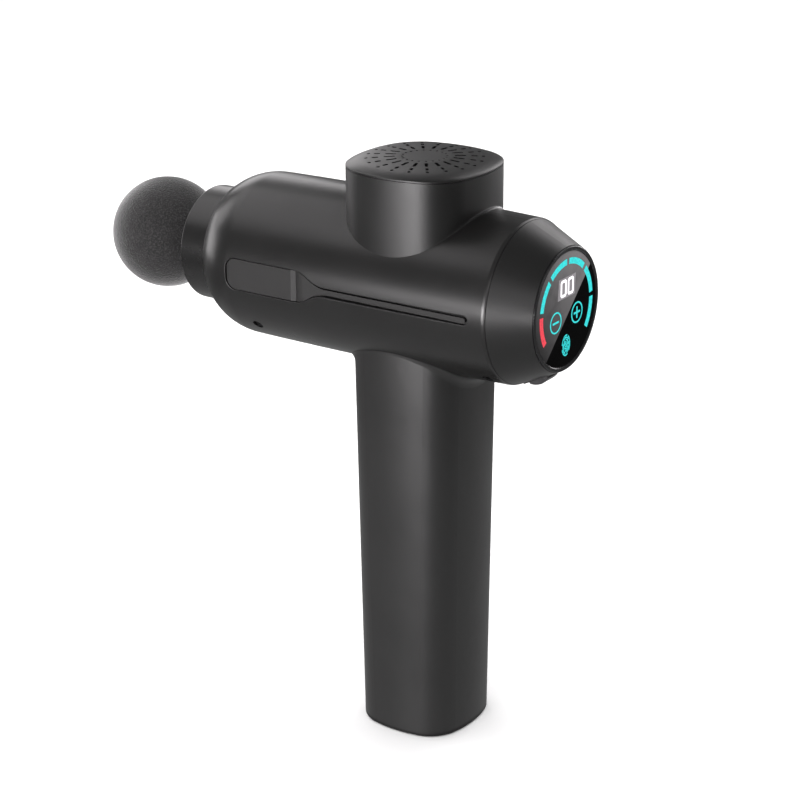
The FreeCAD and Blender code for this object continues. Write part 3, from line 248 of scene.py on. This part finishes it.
def wound(name, colour):
    """Enamelled wire laid turn beside turn."""
    s = Shader(name, colour, 0.32, Metallic=0.85, Coat_Weight=0.6, Coat_Roughness=0.2)
    turns = s.node("ShaderNodeTexWave", Scale=190.0, bands_direction="DIAGONAL", Distortion=1.2)
    s.link(s.coords, turns.inputs["Vector"])
    s.tint(turns.outputs["Fac"], lighter(colour, 0.5), 0.7)
    s.wear(s.noise(0.002), 0.12)
    s.bump(turns.outputs["Fac"], 0.0001)
    return s.material


def foam(name, colour):
    """Closed-cell foam: a speckled matt skin full of tiny pores."""
    s = Shader(name, colour, 0.75, Specular_IOR_Level=0.3, Sheen_Weight=0.42, Sheen_Roughness=0.42)
    cells = s.node("ShaderNodeTexVoronoi", Scale=1500.0, feature="F1")
    s.link(s.coords, cells.inputs["Vector"])
    speckle = s.noise(0.00065, 2.0, rough=0.65)
    s.tint(s.ramp(speckle, 0.46, 0.64), lighter(colour, 3.8), 0.85)
    s.tint(s.ramp(speckle, 0.58, 0.42), lighter(colour, 0.45), 0.6)
    s.tint(s.ramp(s.noise(0.012, 3.0), 0.4, 0.7), lighter(colour, 1.25), 0.4)
    s.wear(s.noise(0.004), 0.08)
    s.bump(cells.outputs["Distance"], 0.00016, 0.8)
    s.bump(speckle, 0.0002, 0.8)
    return s.material


def cover_glass(name):
    """Black printed glass, with a painted reflection: a paler slanting field over its upper half."""
    s = Shader(name, (0.0008, 0.0008, 0.0009), 0.05, Specular_IOR_Level=0.03)
    painted_reflection = s.ramp(s.along(REFLECTION_NORMAL), REFLECTION_EDGE - REFLECTION_BLUR, REFLECTION_EDGE + REFLECTION_BLUR)
    reflection_fade = s.ramp(s.along(REFLECTION_FADE_RISE), REFLECTION_FADE_MIDDLE - 0.03, REFLECTION_FADE_MIDDLE + 0.02)
    # painted reflection: a paler grey mixed over the glass's upper half, fading out along its rise
    s.tint(s.both(painted_reflection, reflection_fade), (0.2, 0.193, 0.197))
    s.tint(s.ramp(s.noise(0.01, 5.0), 0.55, 0.75), (0.004, 0.004, 0.0045), 0.3)
    s.wear(s.ramp(s.noise(0.012, 6.0), 0.5, 0.8), 0.05)
    return s.material


def glowing(name, colour, strength, grain=0.35):
    """Back-lit print: the light is a little uneven where the ink is thin."""
    s = Shader(name, lighter(colour, 0.25), 0.3, Emission_Strength=strength)
    uneven = s.ramp(s.noise(0.0011, 4.0), 0.35, 0.6)
    mix = s.node("ShaderNodeMix", data_type="RGBA")
    mix.inputs[FIRST_COLOUR].default_value = (*lighter(colour, 1.0 - grain), 1.0)
    mix.inputs[SECOND_COLOUR].default_value = (*colour, 1.0)
    s.link(uneven, mix.inputs["Factor"])
    s.link(mix.outputs[MIXED_COLOUR], s.surface.inputs["Emission Color"])
    s.wear(s.noise(0.002), 0.1)
    return s.material


def sleeve(name, colour):
    """Shrink sleeve: a thin glossy skin, drawn out along the cell."""
    s = Shader(name, colour, 0.28, Coat_Weight=0.4, Coat_Roughness=0.15)
    s.tint(s.ramp(s.noise(0.02, 3.0, (1, 1, 0.2)), 0.4, 0.7), lighter(colour, 1.3), 0.6)
    s.wear(s.noise(0.004), 0.12)
    s.bump(s.noise(0.002, 4.0, (1, 1, 0.3)), 0.00006)
    return s.material


glass_low, glass_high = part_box("display_glass")
FACE_Z = (glass_low.z + glass_high.z) / 2
# the painted reflection on the glass: the side it lies on, its edge along that way, and how it brightens
REFLECTION_NORMAL = Vector((0.0, -0.69, 0.72)).normalized()
REFLECTION_EDGE = FACE_Z * REFLECTION_NORMAL.z - 0.0028
REFLECTION_BLUR = 0.00015
REFLECTION_FADE_RISE = (0.0, 0.8, 0.6)
REFLECTION_FADE_MIDDLE = FACE_Z * REFLECTION_FADE_RISE[2]

MATERIALS = {
    "body_plastic": moulded("barrel plastic", (0.006, 0.0058, 0.0058), 0.26, Specular_IOR_Level=0.5),
    "pod_plastic": moulded("pod plastic", (0.004, 0.0039, 0.0039), 0.34, Specular_IOR_Level=0.55),
    "handle_plastic": moulded("handle plastic", (0.006, 0.0058, 0.0058), 0.33, Specular_IOR_Level=0.7),
    "filter_felt": rubber("filter felt", (0.003, 0.003, 0.003), 0.9),
    "soft_inlay": moulded("soft inlay", (0.011, 0.0106, 0.0106), 0.48, Specular_IOR_Level=0.4),
    "coated_aluminium": metal("hard-coated aluminium", (0.3, 0.31, 0.32), 0.3, (8, 1, 1)),
    "black_steel": metal("black steel", (0.045, 0.045, 0.047), 0.35),
    "gloss_bezel": moulded("bezel plastic", (0.006, 0.006, 0.0065), 0.22),
    "display_glass": cover_glass("display glass"),
    "circuit_board": circuit("circuit board", (0.01, 0.09, 0.035)),
    "chip_plastic": moulded("chip plastic", (0.02, 0.02, 0.022), 0.5),
    "spring_steel": metal("spring steel", (0.75, 0.66, 0.45), 0.25),
    "lead_insulation": rubber("lead insulation", (0.3, 0.02, 0.015), 0.45),
    "rocker_plastic": moulded("rocker plastic", (0.016, 0.016, 0.017), 0.3),
    "cast_aluminium": cast("cast aluminium", (0.62, 0.63, 0.64)),
    "bronze": metal("bronze", (0.6, 0.38, 0.17), 0.38),
    "rubber": rubber("black rubber", (0.02, 0.02, 0.02)),
    "bearing_steel": metal("bearing steel", (0.6, 0.6, 0.61), 0.2, (1, 1, 8)),
    "core_steel": laminated("core steel", (0.3, 0.3, 0.31)),
    "copper_wire": wound("copper wire", (0.72, 0.28, 0.1)),
    "magnet": metal("magnet plating", (0.66, 0.65, 0.63), 0.18),
    "fan_plastic": moulded("fan plastic", (0.03, 0.03, 0.032), 0.45),
    "stem_plastic": moulded("stem plastic", (0.022, 0.022, 0.023), 0.4),
    "foam": foam("foam skin", (0.0085, 0.0082, 0.0084)),
    "cell_wrap": sleeve("cell sleeve", (0.03, 0.16, 0.4)),
    "holder_plastic": moulded("holder plastic", (0.03, 0.03, 0.03), 0.5),
    "nickel": metal("nickel strip", (0.68, 0.66, 0.6), 0.28),
    "jack_plastic": moulded("jack plastic", (0.015, 0.015, 0.015), 0.4),
}
CYAN = glowing("cyan print", (0.02, 0.72, 0.72), 0.95)
RED = glowing("red print", (0.9, 0.05, 0.08), 0.9)
WHITE = glowing("white digit", (1.0, 0.97, 1.0), 1.3, 0.1)
WINDOW = glowing("digit window", (0.36, 0.34, 0.36), 0.6, 0.3)

for part in frame["record"]["subparts"]:
    data = nodes[part["node"]].data
    data.materials.clear()
    data.materials.append(MATERIALS[part["material_slot"]])


# ---- foam ball -------------------------------------------------------------------------------

PIT_DEPTH = 0.05 * MM
SWELL = 0.04 * MM
NECK_RADIUS = 8.0 * MM
DIMPLE_BLEND = 1.5 * MM
DIMPLE_DEPTH = 1.2 * MM


def make_ball():
    """Foam ball with a pitted skin and a dimple round the stem."""
    low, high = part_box("foam_ball")
    radius = (high.z - low.z) / 2
    centre = Vector((low.x + radius, 0.0, (low.z + high.z) / 2))
    bm = bmesh.new()
    bmesh.ops.create_icosphere(bm, subdivisions=7, radius=1.0)
    for vertex in bm.verts:
        direction = vertex.co.normalized()
        pits = noise.fractal(direction * 60.0, 0.8, 2.0, 3, noise_basis="PERLIN_ORIGINAL")
        swell = noise.noise(direction * 2.5)
        reach = radius - PIT_DEPTH + PIT_DEPTH * pits + SWELL * swell
        aside = math.hypot(direction.y, direction.z) * radius
        if direction.x > 0 and aside < NECK_RADIUS + DIMPLE_BLEND:
            inward = min(1.0, (NECK_RADIUS + DIMPLE_BLEND - aside) / DIMPLE_BLEND)
            reach -= DIMPLE_DEPTH * inward * inward
        vertex.co = centre + direction * reach
    mesh = to_mesh("ball_skin", bm, MATERIALS["foam"])
    for face in mesh.polygons:
        face.use_smooth = True
    ball = add_piece("ball_skin", mesh, "head")
    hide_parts("foam_ball")


# ---- printed display: y sideways and z up, in mm from the glass's centre -----------------------

PRINT_GAP = 0.01 * MM
FACE_X = glass_high.x + PRINT_GAP
FILM = 0.05 * MM

SCALE_INNER, SCALE_OUTER = 18.0, 20.5
SCALE_Y = 0.3
SCALE_START, SCALE_SWEEP, SCALE_PITCH = 175.6, 37.0, 42.4
SCALE_ARCS = 6

DIGIT_YS = (-2.3, 3.2)
DIGITS_Z = 9.0
WINDOW_WIDTH, WINDOW_HEIGHT, WINDOW_LEAN = 13.0, 8.4, 0.35

KEY_YS = {"minus_key": -7.8, "plus_key": 8.6}
KEYS_Z = -3.6
KEY_INNER, KEY_OUTER = 3.75, 4.4
SIGN_LENGTH, SIGN_STROKE = 4.8, 0.85
# a plus sign's upright is two arms, one on each side of its level bar
ARM_LENGTH, ARM_MIDDLE = 1.95, 1.4

TOUCH_MARK_Y, TOUCH_MARK_Z = 0.4, -15.0
RIDGE_RADII = (0.55, 1.25, 1.95, 2.65, 3.35)
RIDGE_INWARD, RIDGE_OUTWARD = 0.27, 0.2
# degrees: where the three ridges of the innermost ring start, how far each goes, and each ring's turn
RIDGE_STARTS = (50, 172, 286)
RIDGE_SWEEP, RING_TURN = 98, 37
OVAL_Y, OVAL_Z = 0.9, 1.25


def film(name, outlines, material, layer=1):
    """A thin printed shape on the glass, from flat outlines of (y, z) points, some layers thick."""
    bm = bmesh.new()
    depths = (FACE_X, FACE_X + FILM * layer)
    for points in outlines:
        back, front = ([bm.verts.new((x, y * MM, FACE_Z + z * MM)) for y, z in points] for x in depths)
        bm.faces.new(front)
        bm.faces.new(back[::-1])
        for i in range(len(points)):
            j = (i + 1) % len(points)
            bm.faces.new((back[i], back[j], front[j], front[i]))
    bmesh.ops.recalc_face_normals(bm, faces=bm.faces)
    add_piece(name, to_mesh(name, bm, material))


def polar(radius, degrees, y, z):
    """Point on a circle round (y, z)."""
    return y + radius * math.cos(math.radians(degrees)), z + radius * math.sin(math.radians(degrees))


def arc_band(inner, outer, start, end, steps, y=0.0, z=0.0):
    """Quads of a ring's stretch, as separate outlines so that a full ring stays open."""
    angles = [start + (end - start) * i / steps for i in range(steps + 1)]
    return [
        [polar(inner, a, y, z), polar(outer, a, y, z), polar(outer, b, y, z), polar(inner, b, y, z)]
        for a, b in zip(angles, angles[1:])
    ]


def bar(y, z, width, height, lean=0.0):
    """An upright bar whose top leans sideways."""
    w, h = width / 2, height / 2
    return [(y - w - lean, z - h), (y + w - lean, z - h), (y + w + lean, z + h), (y - w + lean, z + h)]


def cut_corner_ring(y, z, half_y, half_z, cut):
    """The eight points of a box with cut corners, counted round it from its right side."""
    points = []
    for u, v in ((1, 1), (-1, 1), (-1, -1), (1, -1)):
        on_side = (y + u * half_y, z + v * half_z - v * cut)
        on_end = (y + u * half_y - u * cut, z + v * half_z)
        points += (on_side, on_end) if u * v > 0 else (on_end, on_side)
    return points


def rounded_zero(y, z, half_y=2.25, half_z=3.5, stroke=1.05, corner=0.8):
    """A narrow 0 with cut corners, as a ring of quads."""
    outer = cut_corner_ring(y, z, half_y, half_z, corner)
    inner_cut = max(corner - stroke * 0.6, 0.3)
    inner = cut_corner_ring(y, z, half_y - stroke, half_z - stroke, inner_cut)
    return [[inner[i], outer[i], outer[(i + 1) % 8], inner[(i + 1) % 8]] for i in range(8)]


def touch_mark(y, z):
    """Finger-pad mark: broken ridges nested inside an oval."""
    ridges = []
    for index, radius in enumerate(RIDGE_RADII):
        inner, outer = radius - RIDGE_INWARD, radius + RIDGE_OUTWARD
        for first in RIDGE_STARTS:
            start = first + RING_TURN * index
            for quad in arc_band(inner, outer, start, start + RIDGE_SWEEP, 8):
                ridges.append([(y + a * OVAL_Y, z + b * OVAL_Z) for a, b in quad])
    return ridges


def make_display():
    """Scale of six arcs, two digits in their window, minus and plus keys and a touch mark."""
    for index in range(SCALE_ARCS):
        start = SCALE_START - SCALE_PITCH * index
        arc = arc_band(SCALE_INNER, SCALE_OUTER, start, start + SCALE_SWEEP, 12, SCALE_Y)
        film(f"scale_arc_{index + 1}", arc, RED if index == 0 else CYAN)
    window = bar(SCALE_Y, DIGITS_Z, WINDOW_WIDTH, WINDOW_HEIGHT, WINDOW_LEAN)
    film("digit_window", [window], WINDOW)
    film("digits", [quad for y in DIGIT_YS for quad in rounded_zero(y, DIGITS_Z)], WHITE, 2)
    for name, y in KEY_YS.items():
        shapes = arc_band(KEY_INNER, KEY_OUTER, 0, 360, 40, y, KEYS_Z)
        shapes.append(bar(y, KEYS_Z, SIGN_LENGTH, SIGN_STROKE))
        if name == "plus_key":
            shapes += [bar(y, KEYS_Z + side * ARM_MIDDLE, SIGN_STROKE, ARM_LENGTH) for side in (-1, 1)]
        film(name, shapes, CYAN)
    film("touch_mark", touch_mark(TOUCH_MARK_Y, TOUCH_MARK_Z), CYAN)


make_ball()
make_display()


# ---- studio ----------------------------------------------------------------------------------

CAMERA_AZIMUTH, CAMERA_ELEVATION, CAMERA_ROLL = 34.05, 20.54, -0.40
CAMERA_TARGET = Vector((-0.0127, 0.0, 0.1406))
CAMERA_DISTANCE = 0.95884
CAMERA_LENS = 103.5

FLOOR_RADIUS = 9.0
WALL_RADIUS = 8.9
WALL_HEIGHT = 16.0
WALL_SUNK = 0.1

# where every soft box points
LIT_POINT = Vector((0.0, 0.0, 0.15))
# name: bearing, reach and height of its middle, (width, height), power in W
SOFT_BOXES = {
    "front_strip": (-1, 1.2, 0.14, (0.38, 0.26), 11.0),
    "front_fill": (-20, 1.2, 0.14, (0.5, 0.26), 2.8),
    "front_right": (17, 1.2, 0.08, (0.24, 0.14), 1.8),
    "front_high": (25, 1.1, 0.72, (0.55, 0.45), 1.1),
    "left_low": (-90, 1.2, 0.2, (0.8, 0.38), 3.3),
    "left_middle": (-90, 1.1, 0.65, (0.5, 0.45), 1.6),
    "left_back": (-130, 1.1, 0.6, (0.5, 0.42), 1.7),
    "left_high": (-78, 0.75, 1.05, (1.25, 0.5), 3.0),
    "back_low": (180, 1.2, 0.2, (0.42, 0.38), 2.4),
    "right_low": (120, 1.2, 0.25, (0.5, 0.45), 0.8),
    "back_right": (150, 1.2, 0.2, (0.42, 0.38), 1.2),
    "back_middle": (180, 1.1, 0.65, (0.5, 0.45), 1.8),
    "back_high": (180, 0.9, 0.95, (0.5, 0.5), 1.5),
}


def around(azimuth, reach, height):
    """Point at a bearing in degrees, counted from -Y towards +X, and at a height above the floor."""
    angle = math.radians(azimuth)
    return Vector((math.sin(angle) * reach, -math.cos(angle) * reach, height))


def make_camera():
    """Long lens, turned about its own axis by the roll."""
    azimuth, elevation = math.radians(CAMERA_AZIMUTH), math.radians(CAMERA_ELEVATION)
    back = around(CAMERA_AZIMUTH, math.cos(elevation), math.sin(elevation))
    right = Vector((math.cos(azimuth), math.sin(azimuth), 0.0))
    level = Matrix((right, back.cross(right), back)).transposed()
    rotation = level @ Matrix.Rotation(math.radians(CAMERA_ROLL), 3, "Z")
    data = bpy.data.cameras.new("camera")
    data.sensor_width = 36.0
    data.lens = CAMERA_LENS
    camera = to_scene("camera", data)
    place = CAMERA_TARGET + back * CAMERA_DISTANCE
    camera.matrix_world = Matrix.Translation(place) @ rotation.to_4x4()
    bpy.context.scene.camera = camera


def lamp(name, kind, power):
    """A light of any kind; a sun's power is its strength."""
    data = bpy.data.lights.new(name, kind)
    data.energy = power
    return to_scene(name, data)


def soft_box(name, place, size, power):
    """Area light of (width, height) that faces the object and stays out of every picture."""
    light = lamp(name, "AREA", power)
    light.data.shape = "RECTANGLE"
    light.data.size, light.data.size_y = size
    light.data.color = (1.0, 0.972, 0.984)
    light.location = place
    light.rotation_euler = (LIT_POINT - place).to_track_quat("-Z", "Y").to_euler()
    light.visible_camera = False


def make_sky():
    """Even, shadow-softening light from overhead; it whitens the floor and leaves no highlight."""
    light = lamp("sky", "SUN", 3.1)
    light.data.angle = math.radians(90.0)
    light.visible_glossy = False


def make_bounce():
    """Faint light from the floor round the object, as a pale table gives; the camera doesn't see it."""
    light = lamp("floor_bounce", "AREA", 0.3)
    light.data.size = 0.65
    light.location = (0.0, 0.0, 2 * MM)
    light.rotation_euler = (math.pi, 0.0, 0.0)
    light.visible_camera = False


def make_floor():
    """Plain pale floor, far wider than the picture."""
    s = Shader("floor paint", (0.86, 0.86, 0.86), 0.8)
    s.tint(s.noise(0.6, 2.0), (0.88, 0.88, 0.88), 0.5)
    bm = bmesh.new()
    bmesh.ops.create_circle(bm, cap_ends=True, segments=96, radius=FLOOR_RADIUS)
    floor = to_scene("floor", to_mesh("floor", bm, s.material))
    floor.visible_glossy = False


def make_backdrop():
    """Pale wall far behind, for views that look over the floor's edge; it lights nothing."""
    s = Shader("backdrop paper", (0.0, 0.0, 0.0), 1.0, Emission_Strength=0.93)
    s.surface.inputs["Emission Color"].default_value = (1.0, 1.0, 1.0, 1.0)
    bm = bmesh.new()
    bmesh.ops.create_cone(
        bm, cap_ends=False, segments=96, radius1=WALL_RADIUS, radius2=WALL_RADIUS, depth=WALL_HEIGHT
    )
    wall = to_scene("backdrop", to_mesh("backdrop", bm, s.material))
    wall.location.z = WALL_HEIGHT / 2 - WALL_SUNK
    wall.visible_diffuse = False
    wall.visible_glossy = False
    wall.visible_shadow = False


def make_world():
    """Faint white light from all round."""
    world = bpy.data.worlds.new("world")
    world.use_nodes = True
    background = world.node_tree.nodes["Background"]
    background.inputs["Color"].default_value = (1.0, 1.0, 1.0, 1.0)
    background.inputs["Strength"].default_value = 0.18
    bpy.context.scene.world = world


make_camera()
make_floor()
make_backdrop()
make_world()
make_sky()
make_bounce()
for name, (bearing, reach, height, size, power) in SOFT_BOXES.items():
    soft_box(name, around(bearing, reach, height), size, power)
bpy.context.scene.view_settings.view_transform = "Standard"
